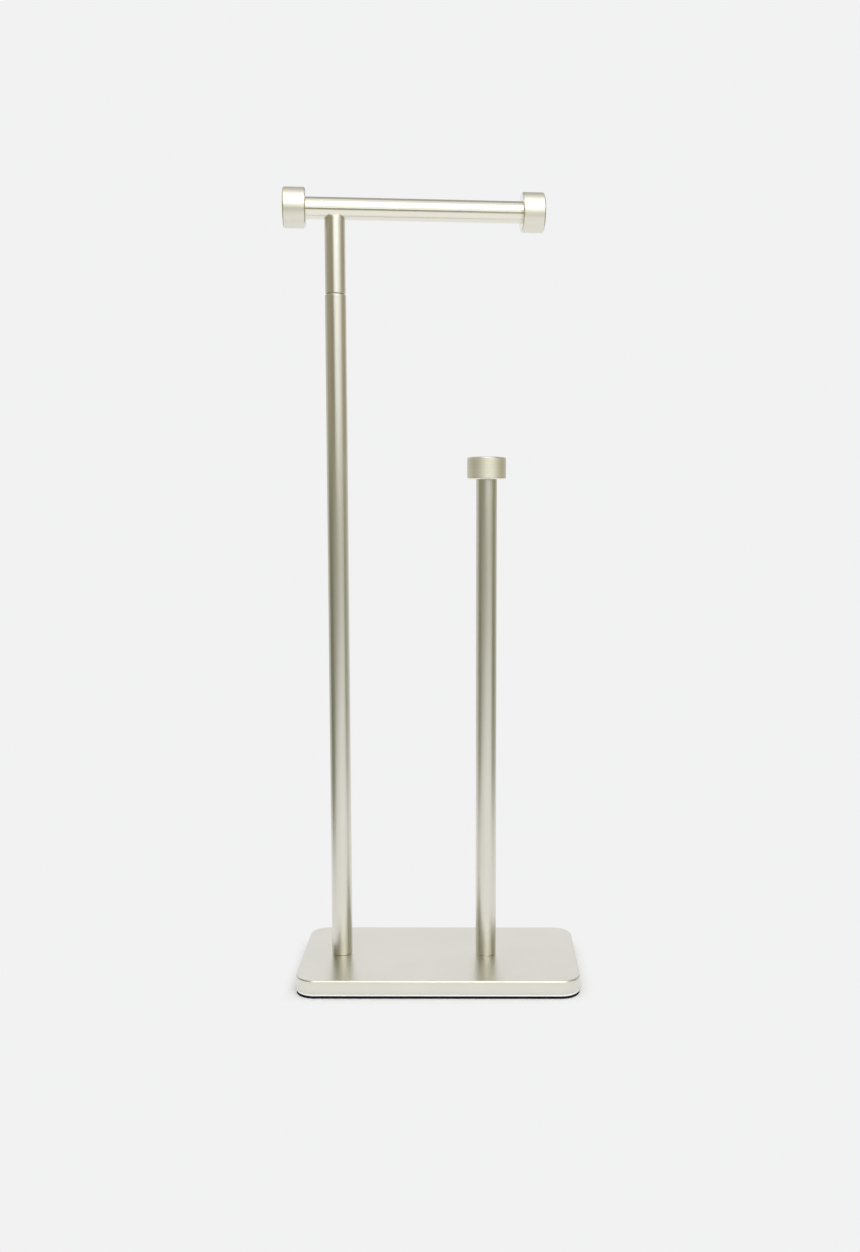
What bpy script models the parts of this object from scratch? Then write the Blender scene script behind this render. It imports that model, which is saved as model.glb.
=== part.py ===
"""Freestanding toilet paper holder: a heavy plate, a tall post with a swivel arm, and a post for spare rolls.

Metres, +Z up. The origin is the centre of the pad's underside, +X runs from the tall post to the spare roll
post, and -Y is the front. The arm and all that turns with it hang from one empty on the tall post's axis.
"""

import math

import bmesh
import bpy

# Clearances
SEAT_GAP = 0.0003
CUT_OVERRUN = 0.002
MERGE_DISTANCE = 0.000003

# Base plate, its pad and the backing between them
PLATE_WIDTH = 0.215
PLATE_DEPTH = 0.118
PLATE_THICKNESS = 0.0105
PLATE_CORNER_RADIUS = 0.015
PLATE_UPPER_BEVEL = 0.0009
PLATE_LOWER_BEVEL = 0.0005
PAD_THICKNESS = 0.0016
BACKING_THICKNESS = 0.0011
PAD_INSET = 0.0003

# Tall post and spare roll post
POST_DIAMETER = 0.016
POST_WALL = 0.0012
TUBE_CHAMFER = 0.0006
MAIN_POST_INSET = 0.0305
MAIN_POST_LENGTH = 0.5104
POST_SPACING = 0.1135
RESERVE_POST_LENGTH = 0.374
FOOT_PLUG_LENGTH = 0.018
HEAD_PLUG_LENGTH = 0.014
PLUG_CHAMFER = 0.0005

# Screws that come up through the plate into the foot plugs
BASE_SCREW_DIAMETER = 0.006
BASE_SCREW_REACH = 0.014
BASE_SCREW_HEAD_DIAMETER = 0.010
BASE_SCREW_HEAD_HEIGHT = 0.004
BASE_SCREW_RECESS = 0.0006
BASE_SCREW_HEX = 0.004
BASE_SCREW_HEX_DEPTH = 0.0023
LOCK_WASHER_THICKNESS = 0.0012
LOCK_WASHER_WIDTH = 0.0016
LOCK_WASHER_SLOT_DEGREES = 14
COUNTERBORE_CLEARANCE = 0.0008
SCREW_END_CHAMFER = 0.0006

# Swivel between the tall post and the arm's stub
PIVOT_DIAMETER = 0.006
PIVOT_HEAD_DIAMETER = 0.009
PIVOT_HEAD_HEIGHT = 0.0035
PIVOT_HEX = 0.003
PIVOT_HEX_DEPTH = 0.0018
PIVOT_THREAD_DIAMETER = 0.005
PIVOT_THREAD_LENGTH = 0.009
BUSH_WALL = 0.0008
BUSH_FLANGE_THICKNESS = 0.0006
BUSH_SETBACK = 0.001
WAVE_WASHER_THICKNESS = 0.0004
WAVE_WASHER_HEIGHT = 0.0011
WAVE_WASHER_WIDTH = 0.0013
WAVE_COUNT = 3

# Stub: the short turning post that carries the arm
STUB_DIAMETER = 0.0154
STUB_WALL = 0.0012
STUB_NECK = 0.0541
STUB_PLUG_LENGTH = 0.012
SADDLE_RISE = 0.0013
SADDLE_CHAMFER = 0.0010
SADDLE_PLUG_LENGTH = 0.014

# Arm tube
ARM_TUBE_DIAMETER = 0.0162
ARM_TUBE_WALL = 0.0012
ARM_SHORT_SIDE = 0.0214
ARM_LONG_SIDE = 0.1401
ARM_REST_TURN_DEGREES = 5.6
ARM_CORE_LENGTH = 0.014
ARM_SCREW_DIAMETER = 0.005
ARM_SCREW_REACH = 0.010
ARM_SCREW_HEAD_DIAMETER = 0.0085
ARM_SCREW_HEAD_HEIGHT = 0.0035
ARM_SCREW_HEX = 0.003
ARM_SCREW_HEX_DEPTH = 0.002
END_PLUG_LENGTH = 0.009

# End caps and the studs that hold them
CAP_DIAMETER = 0.0295
CAP_LENGTH = 0.0168
CAP_CHAMFER = 0.0008
CAP_SOCKET_DEPTH = 0.0015
STUD_DIAMETER = 0.005
STUD_IN_CAP = 0.0085
STUD_IN_PLUG = 0.0075
STUD_CHAMFER = 0.0005

# Facets
TUBE_STEPS = 48
INNER_STEPS = 24
CORNER_STEPS = 10
HEX_STEPS = 6
SHARP_DEGREES = 30

# Places that follow from the sizes above
MAIN_POST_X = MAIN_POST_INSET - PLATE_WIDTH / 2
RESERVE_POST_X = MAIN_POST_X + POST_SPACING
BACKING_BOTTOM = PAD_THICKNESS + SEAT_GAP
BACKING_TOP = BACKING_BOTTOM + BACKING_THICKNESS
PLATE_BOTTOM = BACKING_TOP + SEAT_GAP
PLATE_TOP = PLATE_BOTTOM + PLATE_THICKNESS
POST_BOTTOM = PLATE_TOP + SEAT_GAP
MAIN_POST_TOP = POST_BOTTOM + MAIN_POST_LENGTH
RESERVE_POST_TOP = POST_BOTTOM + RESERVE_POST_LENGTH
FLANGE_TOP = MAIN_POST_TOP
FLANGE_BOTTOM = FLANGE_TOP - BUSH_FLANGE_THICKNESS
HEAD_PLUG_TOP = FLANGE_BOTTOM - SEAT_GAP
STUB_BOTTOM = MAIN_POST_TOP + SEAT_GAP
ARM_UNDERSIDE = STUB_BOTTOM + STUB_NECK
ARM_AXIS = ARM_UNDERSIDE + ARM_TUBE_DIAMETER / 2

# Radii that follow from the sizes above
POST_BORE_RADIUS = POST_DIAMETER / 2 - POST_WALL
STUB_BORE_RADIUS = STUB_DIAMETER / 2 - STUB_WALL
ARM_BORE_RADIUS = ARM_TUBE_DIAMETER / 2 - ARM_TUBE_WALL
STUD_HOLE_RADIUS = STUD_DIAMETER / 2 + SEAT_GAP

# Finishes: colour, roughness, metallic
SATIN_NICKEL = ((0.69, 0.67, 0.61), 0.30, 1.0)
ZINC_STEEL = ((0.58, 0.60, 0.62), 0.35, 1.0)
RAW_STEEL = ((0.45, 0.45, 0.46), 0.42, 1.0)
SPRING_STEEL = ((0.20, 0.20, 0.22), 0.38, 1.0)
BLACK_FOAM = ((0.012, 0.012, 0.014), 0.85, 0.0)
WHITE_FOAM = ((0.86, 0.86, 0.86), 0.80, 0.0)
DARK_NYLON = ((0.035, 0.034, 0.032), 0.55, 0.0)


def clear_scene():
    """Remove whatever the scene holds, so that the script gives the same model each time."""
    for old in list(bpy.data.objects):
        bpy.data.objects.remove(old, do_unlink=True)


def finish_material(name, finish):
    """A plain metal, foam or plastic surface for one sub-part."""
    colour, roughness, metallic = finish
    material = bpy.data.materials.new(name + "_finish")
    material.use_nodes = True
    shader = material.node_tree.nodes["Principled BSDF"]
    shader.inputs["Base Color"].default_value = (*colour, 1.0)
    shader.inputs["Roughness"].default_value = roughness
    shader.inputs["Metallic"].default_value = metallic
    return material


def place(name, work, finish, at=(0, 0, 0), turn=(0, 0, 0), parent=None):
    """Turn a finished bmesh into a named object and put it where it belongs."""
    bmesh.ops.recalc_face_normals(work, faces=work.faces)
    mesh = bpy.data.meshes.new(name)
    work.to_mesh(mesh)
    work.free()
    mesh.shade_smooth()
    mesh.set_sharp_from_angle(angle=math.radians(SHARP_DEGREES))
    piece = bpy.data.objects.new(name, mesh)
    bpy.context.scene.collection.objects.link(piece)
    piece.location = at
    piece.rotation_euler = turn
    piece.parent = parent
    if finish is not None:
        mesh.materials.append(finish_material(name, finish))
    return piece


def as_cutter(piece):
    """Mark a shape as a cutting tool only."""
    piece.hide_render = True
    piece.display_type = "WIRE"
    return piece


def cut(piece, cutter):
    """Take a cutter's shape out of a piece."""
    boolean = piece.modifiers.new("cut_by_" + cutter.name, "BOOLEAN")
    boolean.operation = "DIFFERENCE"
    boolean.solver = "EXACT"
    boolean.object = cutter


def lathe(profile, steps, closed):
    """Spin a profile of (radius, height) points about Z. A closed profile is a ring's cross-section."""
    work = bmesh.new()
    points = [work.verts.new((radius, 0, height)) for radius, height in profile]
    pairs = list(zip(points, points[1:]))
    if closed:
        pairs.append((points[-1], points[0]))
    edges = [work.edges.new(pair) for pair in pairs]
    bmesh.ops.spin(
        work,
        geom=points + edges,
        cent=(0, 0, 0),
        axis=(0, 0, 1),
        angle=math.tau,
        steps=steps,
        use_merge=True,
        use_duplicate=False,
    )
    bmesh.ops.remove_doubles(work, verts=work.verts, dist=MERGE_DISTANCE)
    return work


def ring(outer, inner, bottom, top, chamfer, steps):
    """A tube, plug or washer: a bored cylinder whose two outer edges are chamfered."""
    profile = [
        (inner, bottom),
        (outer - chamfer, bottom),
        (outer, bottom + chamfer),
        (outer, top - chamfer),
        (outer - chamfer, top),
        (inner, top),
    ]
    return lathe(profile, steps, closed=True)


def rod(radius, bottom, top, steps):
    """A plain solid cylinder, used for cutters."""
    return lathe([(0, bottom), (radius, bottom), (radius, top), (0, top)], steps, closed=False)


def rounded_slab(width, depth, radius, bottom, top, lower_bevel, upper_bevel):
    """A rectangular slab with round upright corners and bevelled rims."""
    work = bmesh.new()
    bmesh.ops.create_cube(work, size=1)
    bmesh.ops.scale(work, vec=(width, depth, top - bottom), verts=work.verts)
    bmesh.ops.translate(work, vec=(0, 0, (top + bottom) / 2), verts=work.verts)
    middle = (top + bottom) / 2
    upright = [e for e in work.edges if (e.verts[0].co.z - middle) * (e.verts[1].co.z - middle) < 0]
    bmesh.ops.bevel(
        work, geom=upright, offset=radius, affect="EDGES", segments=CORNER_STEPS, profile=0.5, material=-1
    )
    for bevel, height in ((lower_bevel, bottom), (upper_bevel, top)):
        if not bevel:
            continue
        rim = [e for e in work.edges if all(abs(v.co.z - height) < MERGE_DISTANCE for v in e.verts)]
        bmesh.ops.bevel(work, geom=rim, offset=bevel, affect="EDGES", segments=1, profile=0.5, material=-1)
    return work


def socket_screw(name, parent, at, sizes, shank_steps):
    """A cap screw standing on its head, its seat at z = 0, with a hexagon socket in the head.

    sizes holds the head's radius and height, the hexagon's width and depth, and the shank's stretches as
    (radius, end height) pairs going up.
    """
    head_radius, head_height, hexagon, hexagon_depth, stretches = sizes
    profile = [(0, -head_height), (head_radius - SCREW_END_CHAMFER, -head_height)]
    profile += [(head_radius, SCREW_END_CHAMFER - head_height), (head_radius, 0)]
    height = 0
    for radius, end in stretches:
        profile.append((radius, height))
        if (radius, end) == stretches[-1]:
            profile += [(radius, end - SCREW_END_CHAMFER), (radius - SCREW_END_CHAMFER, end)]
        else:
            profile.append((radius, end))
        height = end
    profile.append((0, height))
    screw = place(name, lathe(profile, shank_steps, closed=False), ZINC_STEEL, at, parent=parent)
    corner = hexagon / math.sqrt(3)
    hollow = rod(corner, -head_height - CUT_OVERRUN, hexagon_depth - head_height, HEX_STEPS)
    cutter = as_cutter(place(name + "_hexagon", hollow, None, at, parent=parent))
    cut(screw, cutter)
    return screw


def split_washer(name, parent, at, inner, width, thickness):
    """A spring lock washer: a flat ring with one slot through it, its underside at z = 0."""
    work = bmesh.new()
    corners = [(inner, 0), (inner + width, 0), (inner + width, thickness), (inner, thickness)]
    points = [work.verts.new((radius, 0, height)) for radius, height in corners]
    start = work.faces.new(points)
    sweep = math.radians(360 - LOCK_WASHER_SLOT_DEGREES)
    bmesh.ops.spin(
        work,
        geom=[*start.verts, *start.edges, start],
        cent=(0, 0, 0),
        axis=(0, 0, 1),
        angle=sweep,
        steps=INNER_STEPS,
        use_merge=False,
        use_duplicate=False,
    )
    gaps = [edge for edge in work.edges if edge.is_boundary]
    if gaps:
        bmesh.ops.holes_fill(work, edges=gaps, sides=len(corners))
    return place(name, work, SPRING_STEEL, at, parent=parent)


def wave_washer(name, parent, at, inner, width, thickness, height):
    """A thin spring ring whose height rises and falls WAVE_COUNT times on its way round."""
    work = ring(inner + width, inner, 0, thickness, 0, INNER_STEPS)
    swing = (height - thickness) / 2
    for vertex in work.verts:
        angle = math.atan2(vertex.co.y, vertex.co.x)
        vertex.co.z += swing + swing * math.sin(WAVE_COUNT * angle)
    return place(name, work, SPRING_STEEL, at, parent=parent)


def build_base():
    """The steel plate, drilled and counterbored from below, and the foam pad stuck under it by its backing."""
    slab = rounded_slab(
        PLATE_WIDTH,
        PLATE_DEPTH,
        PLATE_CORNER_RADIUS,
        PLATE_BOTTOM,
        PLATE_TOP,
        PLATE_LOWER_BEVEL,
        PLATE_UPPER_BEVEL,
    )
    plate = place("base_plate", slab, SATIN_NICKEL)
    layers = (
        ("nonslip_pad", 0, PAD_THICKNESS, BLACK_FOAM),
        ("pad_backing", BACKING_BOTTOM, BACKING_TOP, WHITE_FOAM),
    )
    for name, bottom, top, finish in layers:
        layer = rounded_slab(
            PLATE_WIDTH - 2 * PAD_INSET,
            PLATE_DEPTH - 2 * PAD_INSET,
            PLATE_CORNER_RADIUS - PAD_INSET,
            bottom,
            top,
            0,
            0,
        )
        place(name, layer, finish)
    return plate


def build_foot(post_name, plate, post_x):
    """What holds a post to the plate: the plug in its foot, the screw from below and its washer."""
    hole_radius = BASE_SCREW_DIAMETER / 2 + SEAT_GAP
    washer_bottom = PLATE_BOTTOM + BASE_SCREW_RECESS + BASE_SCREW_HEAD_HEIGHT + SEAT_GAP
    counterbore_top = washer_bottom + LOCK_WASHER_THICKNESS + SEAT_GAP
    washer_radius = hole_radius + LOCK_WASHER_WIDTH
    widest = max(washer_radius, BASE_SCREW_HEAD_DIAMETER / 2)
    counterbore_radius = widest + COUNTERBORE_CLEARANCE
    step = [
        (0, PLATE_BOTTOM - CUT_OVERRUN),
        (counterbore_radius, PLATE_BOTTOM - CUT_OVERRUN),
        (counterbore_radius, counterbore_top),
        (hole_radius, counterbore_top),
        (hole_radius, PLATE_TOP + CUT_OVERRUN),
        (0, PLATE_TOP + CUT_OVERRUN),
    ]
    drilled = lathe(step, INNER_STEPS, closed=False)
    cut(plate, as_cutter(place(post_name + "_drilling", drilled, None, (post_x, 0, 0))))

    plug_radius = POST_BORE_RADIUS - SEAT_GAP
    plug_top = POST_BOTTOM + FOOT_PLUG_LENGTH
    plug = ring(plug_radius, hole_radius, POST_BOTTOM, plug_top, PLUG_CHAMFER, INNER_STEPS)
    place(post_name + "_foot_plug", plug, RAW_STEEL, (post_x, 0, 0))

    seat = washer_bottom - SEAT_GAP
    shank_end = POST_BOTTOM + BASE_SCREW_REACH - seat
    sizes = (
        BASE_SCREW_HEAD_DIAMETER / 2,
        BASE_SCREW_HEAD_HEIGHT,
        BASE_SCREW_HEX,
        BASE_SCREW_HEX_DEPTH,
        [(BASE_SCREW_DIAMETER / 2, shank_end)],
    )
    socket_screw(post_name + "_screw", None, (post_x, 0, seat), sizes, INNER_STEPS)
    split_washer(
        post_name + "_lock_washer",
        None,
        (post_x, 0, washer_bottom),
        hole_radius,
        LOCK_WASHER_WIDTH,
        LOCK_WASHER_THICKNESS,
    )


def build_post(post_name, post_x, post_top):
    """A round tube that stands on the plate."""
    tube = ring(POST_DIAMETER / 2, POST_BORE_RADIUS, POST_BOTTOM, post_top, TUBE_CHAMFER, TUBE_STEPS)
    place(post_name, tube, SATIN_NICKEL, (post_x, 0, 0))


def cap_work(tube_diameter):
    """A turned end cap along +Z: its mouth at z = 0 takes the tube, a blind hole takes the stud."""
    socket = tube_diameter / 2 + SEAT_GAP
    hole_end = CAP_SOCKET_DEPTH + STUD_IN_CAP + SEAT_GAP
    rim = CAP_DIAMETER / 2
    profile = [
        (0, hole_end),
        (STUD_HOLE_RADIUS, hole_end),
        (STUD_HOLE_RADIUS, CAP_SOCKET_DEPTH),
        (socket, CAP_SOCKET_DEPTH),
        (socket, 0),
        (rim - CAP_CHAMFER, 0),
        (rim, CAP_CHAMFER),
        (rim, CAP_LENGTH - CAP_CHAMFER),
        (rim - CAP_CHAMFER, CAP_LENGTH),
        (0, CAP_LENGTH),
    ]
    return lathe(profile, TUBE_STEPS, closed=False)


def build_cap(cap_name, stud_name, plug_name, parent, mouth, turn, bore_radius, tube_diameter, plug_length):
    """An end cap, the stud that it screws on by, and the plug in the tube's end that holds the stud."""
    place(cap_name, cap_work(tube_diameter), SATIN_NICKEL, mouth, turn, parent)
    tube_end = CAP_SOCKET_DEPTH - SEAT_GAP
    stud_radius = STUD_DIAMETER / 2
    low = tube_end - STUD_IN_PLUG
    high = CAP_SOCKET_DEPTH + STUD_IN_CAP
    profile = [
        (0, low),
        (stud_radius - STUD_CHAMFER, low),
        (stud_radius, low + STUD_CHAMFER),
        (stud_radius, high - STUD_CHAMFER),
        (stud_radius - STUD_CHAMFER, high),
        (0, high),
    ]
    place(stud_name, lathe(profile, INNER_STEPS, closed=False), ZINC_STEEL, mouth, turn, parent)
    plug_radius = bore_radius - SEAT_GAP
    plug = ring(plug_radius, STUD_HOLE_RADIUS, tube_end - plug_length, tube_end, PLUG_CHAMFER, INNER_STEPS)
    place(plug_name, plug, RAW_STEEL, mouth, turn, parent)


def build_swivel(turning):
    """The pivot in the tall post's head: plug, flanged bush, wave washer and the shoulder screw.

    The bush's flange lies in the post's mouth, flush with its rim, so that only a hairline shows outside.
    """
    bush_inner = PIVOT_DIAMETER / 2 + SEAT_GAP
    bush_outer = bush_inner + BUSH_WALL
    plug_bore = bush_outer + SEAT_GAP
    plug_bottom = HEAD_PLUG_TOP - HEAD_PLUG_LENGTH
    at_axis = (MAIN_POST_X, 0, 0)
    head_plug = ring(
        POST_BORE_RADIUS - SEAT_GAP, plug_bore, plug_bottom, HEAD_PLUG_TOP, PLUG_CHAMFER, INNER_STEPS
    )
    place("main_post_head_plug", head_plug, RAW_STEEL, at_axis)

    flange = POST_BORE_RADIUS - SEAT_GAP
    bush_bottom = plug_bottom + BUSH_SETBACK
    bush_profile = [
        (bush_inner, bush_bottom),
        (bush_outer, bush_bottom),
        (bush_outer, FLANGE_BOTTOM),
        (flange, FLANGE_BOTTOM),
        (flange, FLANGE_TOP),
        (bush_inner, FLANGE_TOP),
    ]
    place("swivel_bush", lathe(bush_profile, INNER_STEPS, closed=True), DARK_NYLON, at_axis)

    wave_bottom = plug_bottom - SEAT_GAP - WAVE_WASHER_HEIGHT
    wave_washer(
        "swivel_wave_washer",
        None,
        (MAIN_POST_X, 0, wave_bottom),
        bush_inner,
        WAVE_WASHER_WIDTH,
        WAVE_WASHER_THICKNESS,
        WAVE_WASHER_HEIGHT,
    )

    seat = wave_bottom - SEAT_GAP
    shoulder_end = FLANGE_TOP - seat
    thread_end = STUB_BOTTOM + PIVOT_THREAD_LENGTH - seat
    sizes = (
        PIVOT_HEAD_DIAMETER / 2,
        PIVOT_HEAD_HEIGHT,
        PIVOT_HEX,
        PIVOT_HEX_DEPTH,
        [(PIVOT_DIAMETER / 2, shoulder_end), (PIVOT_THREAD_DIAMETER / 2, thread_end)],
    )
    socket_screw("swivel_screw", turning, (0, 0, seat), sizes, INNER_STEPS)


def build_stub(turning):
    """The short post between the swivel and the arm, with its two plugs and the screw into the arm."""
    ear_top = ARM_UNDERSIDE + SADDLE_RISE
    outer = STUB_DIAMETER / 2
    tube_profile = [
        (STUB_BORE_RADIUS, STUB_BOTTOM),
        (outer - TUBE_CHAMFER, STUB_BOTTOM),
        (outer, STUB_BOTTOM + TUBE_CHAMFER),
        (outer, ear_top),
        (outer - SADDLE_CHAMFER, ear_top + SADDLE_CHAMFER),
        (STUB_BORE_RADIUS, ear_top + SADDLE_CHAMFER),
    ]
    stub = place("stub_post", lathe(tube_profile, TUBE_STEPS, closed=True), SATIN_NICKEL, parent=turning)

    plug_radius = STUB_BORE_RADIUS - SEAT_GAP
    thread_bore = PIVOT_THREAD_DIAMETER / 2 + SEAT_GAP
    plug_top = STUB_BOTTOM + STUB_PLUG_LENGTH
    lower_plug = ring(plug_radius, thread_bore, STUB_BOTTOM, plug_top, PLUG_CHAMFER, INNER_STEPS)
    place("stub_lower_plug", lower_plug, RAW_STEEL, parent=turning)

    screw_bore = ARM_SCREW_DIAMETER / 2 + SEAT_GAP
    saddle_bottom = ARM_UNDERSIDE - SADDLE_PLUG_LENGTH
    saddle_plug = ring(plug_radius, screw_bore, saddle_bottom, ear_top, PLUG_CHAMFER, INNER_STEPS)
    saddle = place("stub_saddle_plug", saddle_plug, RAW_STEEL, parent=turning)

    half_length = STUB_DIAMETER / 2 + CUT_OVERRUN
    hollow = rod(ARM_TUBE_DIAMETER / 2 + SEAT_GAP, -half_length, half_length, TUBE_STEPS)
    saddle_cutter = as_cutter(
        place("saddle_cutter", hollow, None, (0, 0, ARM_AXIS), (0, math.pi / 2, 0), turning)
    )
    cut(stub, saddle_cutter)
    cut(saddle, saddle_cutter)

    washer_bottom = saddle_bottom - SEAT_GAP - LOCK_WASHER_THICKNESS
    split_washer(
        "arm_screw_lock_washer",
        turning,
        (0, 0, washer_bottom),
        screw_bore,
        LOCK_WASHER_WIDTH,
        LOCK_WASHER_THICKNESS,
    )
    seat = washer_bottom - SEAT_GAP
    shank_end = ARM_UNDERSIDE + ARM_TUBE_WALL + ARM_SCREW_REACH - seat
    sizes = (
        ARM_SCREW_HEAD_DIAMETER / 2,
        ARM_SCREW_HEAD_HEIGHT,
        ARM_SCREW_HEX,
        ARM_SCREW_HEX_DEPTH,
        [(ARM_SCREW_DIAMETER / 2, shank_end)],
    )
    socket_screw("arm_screw", turning, (0, 0, seat), sizes, INNER_STEPS)


def build_arm(turning):
    """The cross tube, the tapped core inside it over the stub, and the two capped ends."""
    along = (0, math.pi / 2, 0)
    against = (0, -math.pi / 2, 0)
    grip = CAP_SOCKET_DEPTH - SEAT_GAP
    left_end = -ARM_SHORT_SIDE - grip
    right_end = ARM_LONG_SIDE + grip
    outer = ARM_TUBE_DIAMETER / 2
    tube = ring(outer, ARM_BORE_RADIUS, left_end, right_end, TUBE_CHAMFER, TUBE_STEPS)
    arm = place("arm_tube", tube, SATIN_NICKEL, (0, 0, ARM_AXIS), along, turning)

    core_radius = ARM_BORE_RADIUS - SEAT_GAP
    half_core = ARM_CORE_LENGTH / 2
    slug = [
        (0, -half_core),
        (core_radius - PLUG_CHAMFER, -half_core),
        (core_radius, PLUG_CHAMFER - half_core),
        (core_radius, half_core - PLUG_CHAMFER),
        (core_radius - PLUG_CHAMFER, half_core),
        (0, half_core),
    ]
    core_work = lathe(slug, INNER_STEPS, closed=False)
    core = place("arm_core", core_work, RAW_STEEL, (0, 0, ARM_AXIS), along, turning)

    drill_end = ARM_UNDERSIDE + ARM_TUBE_WALL + ARM_SCREW_REACH + SEAT_GAP
    drill = rod(ARM_SCREW_DIAMETER / 2 + SEAT_GAP, ARM_UNDERSIDE - CUT_OVERRUN, drill_end, INNER_STEPS)
    drilling = as_cutter(place("arm_drilling", drill, None, parent=turning))
    cut(arm, drilling)
    cut(core, drilling)

    for side, reach, turn in (("left", -ARM_SHORT_SIDE, against), ("right", ARM_LONG_SIDE, along)):
        build_cap(
            "arm_cap_" + side,
            "arm_cap_stud_" + side,
            "arm_end_plug_" + side,
            turning,
            (reach, 0, ARM_AXIS),
            turn,
            ARM_BORE_RADIUS,
            ARM_TUBE_DIAMETER,
            END_PLUG_LENGTH,
        )


def build_reserve_head():
    """The cap on the spare roll post, with its stud and the plug in the post's top."""
    mouth = RESERVE_POST_TOP + SEAT_GAP - CAP_SOCKET_DEPTH
    build_cap(
        "reserve_cap",
        "reserve_cap_stud",
        "reserve_post_head_plug",
        None,
        (RESERVE_POST_X, 0, mouth),
        (0, 0, 0),
        POST_BORE_RADIUS,
        POST_DIAMETER,
        END_PLUG_LENGTH,
    )


def build_turning_axis():
    """An empty on the tall post's axis, turned as the arm stands at rest."""
    turning = bpy.data.objects.new("arm_swivel_axis", None)
    bpy.context.scene.collection.objects.link(turning)
    turning.location = (MAIN_POST_X, 0, 0)
    turning.rotation_euler = (0, 0, math.radians(ARM_REST_TURN_DEGREES))
    return turning


clear_scene()
base_plate = build_base()
build_foot("main_post", base_plate, MAIN_POST_X)
build_foot("reserve_post", base_plate, RESERVE_POST_X)
build_post("main_post", MAIN_POST_X, MAIN_POST_TOP)
build_post("reserve_post", RESERVE_POST_X, RESERVE_POST_TOP)
build_reserve_head()
swivel_axis = build_turning_axis()
build_swivel(swivel_axis)
build_stub(swivel_axis)
build_arm(swivel_axis)
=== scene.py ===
import math

import bmesh
import bpy
from mathutils import Matrix, Vector


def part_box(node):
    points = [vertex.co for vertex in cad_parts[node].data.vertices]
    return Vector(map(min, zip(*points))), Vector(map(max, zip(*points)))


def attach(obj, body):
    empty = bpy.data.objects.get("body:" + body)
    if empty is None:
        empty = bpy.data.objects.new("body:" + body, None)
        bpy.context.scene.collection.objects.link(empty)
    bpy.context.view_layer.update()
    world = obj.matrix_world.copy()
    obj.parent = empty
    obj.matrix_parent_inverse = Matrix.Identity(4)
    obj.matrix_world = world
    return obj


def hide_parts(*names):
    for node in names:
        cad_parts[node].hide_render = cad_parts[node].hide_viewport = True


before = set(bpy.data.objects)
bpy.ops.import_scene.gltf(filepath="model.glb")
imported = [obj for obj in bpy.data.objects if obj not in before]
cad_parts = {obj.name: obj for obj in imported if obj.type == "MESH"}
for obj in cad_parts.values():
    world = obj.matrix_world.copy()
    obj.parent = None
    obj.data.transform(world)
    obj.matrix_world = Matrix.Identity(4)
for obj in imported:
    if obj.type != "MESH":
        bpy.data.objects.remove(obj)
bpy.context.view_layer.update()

# Camera, floor and light
# The camera stands in front, two thirds up the holder, and looks down a little. A wide soft lamp
# leans over it, with a faint strip below. The floor and surround are pale. Cards round the holder
# show only in the metal: dark warm ones edge the tubes, and a pale one lies on the floor in front.
scene = bpy.context.scene
scene.view_settings.view_transform = "Standard"

PICTURE_HEIGHT = 1252
FOCAL_LENGTH = 1277.5
SENSOR = 36.0
CAMERA_PLACE = (0.0265, -0.979, 0.3821)
CAMERA_PITCH = 0.1095
CAMERA_ROLL = 0.0009
CAMERA_SHIFT = -0.0346
camera_data = bpy.data.cameras.new("camera")
camera_data.sensor_width = SENSOR
camera_data.lens = SENSOR * FOCAL_LENGTH / PICTURE_HEIGHT
camera_data.shift_x = CAMERA_SHIFT
camera = bpy.data.objects.new("camera", camera_data)
scene.collection.objects.link(camera)
look = Matrix.Rotation(math.pi / 2 - CAMERA_PITCH, 4, "X") @ Matrix.Rotation(CAMERA_ROLL, 4, "Z")
camera.matrix_world = Matrix.Translation(CAMERA_PLACE) @ look
scene.camera = camera

PALE = (0.887, 0.887, 0.890, 1.0)
AMBIENT = (0.87, 0.87, 0.87, 1.0)
FLOOR_COLOUR = (0.85, 0.85, 0.875, 1.0)
FLOOR_SIDE = 12
SHADOW_REACH = 0.014


def seen_directly(tree):
    """1 for what the camera sees and what metal or glass reflects of it, else 0."""
    rays = tree.nodes.new("ShaderNodeLightPath").outputs
    seen = rays["Is Camera Ray"]
    for ray in ("Is Glossy Ray", "Is Transmission Ray"):
        either = tree.nodes.new("ShaderNodeMath")
        either.operation = "MAXIMUM"
        tree.links.new(seen, either.inputs[0])
        tree.links.new(rays[ray], either.inputs[1])
        seen = either.outputs[0]
    return seen


def one_colour(tree, kind, colour):
    """A shader of one colour."""
    shader = tree.nodes.new(kind)
    shader.inputs["Color"].default_value = colour
    return shader


def end_between(tree, amount, first, second, output):
    """Ends a tree in a mix of two shaders, by an amount of 0 to 1."""
    choose = tree.nodes.new("ShaderNodeMixShader")
    tree.links.new(amount, choose.inputs[0])
    tree.links.new(first.outputs[0], choose.inputs[1])
    tree.links.new(second.outputs[0], choose.inputs[2])
    tree.links.new(choose.outputs[0], tree.nodes.new(output).inputs["Surface"])


world = bpy.data.worlds.new("pale_surround")
scene.world = world
world.use_nodes = True
tree = world.node_tree
tree.nodes.clear()
ambient = one_colour(tree, "ShaderNodeBackground", AMBIENT)
surround = one_colour(tree, "ShaderNodeBackground", PALE)
end_between(tree, seen_directly(tree), ambient, surround, "ShaderNodeOutputWorld")


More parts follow.
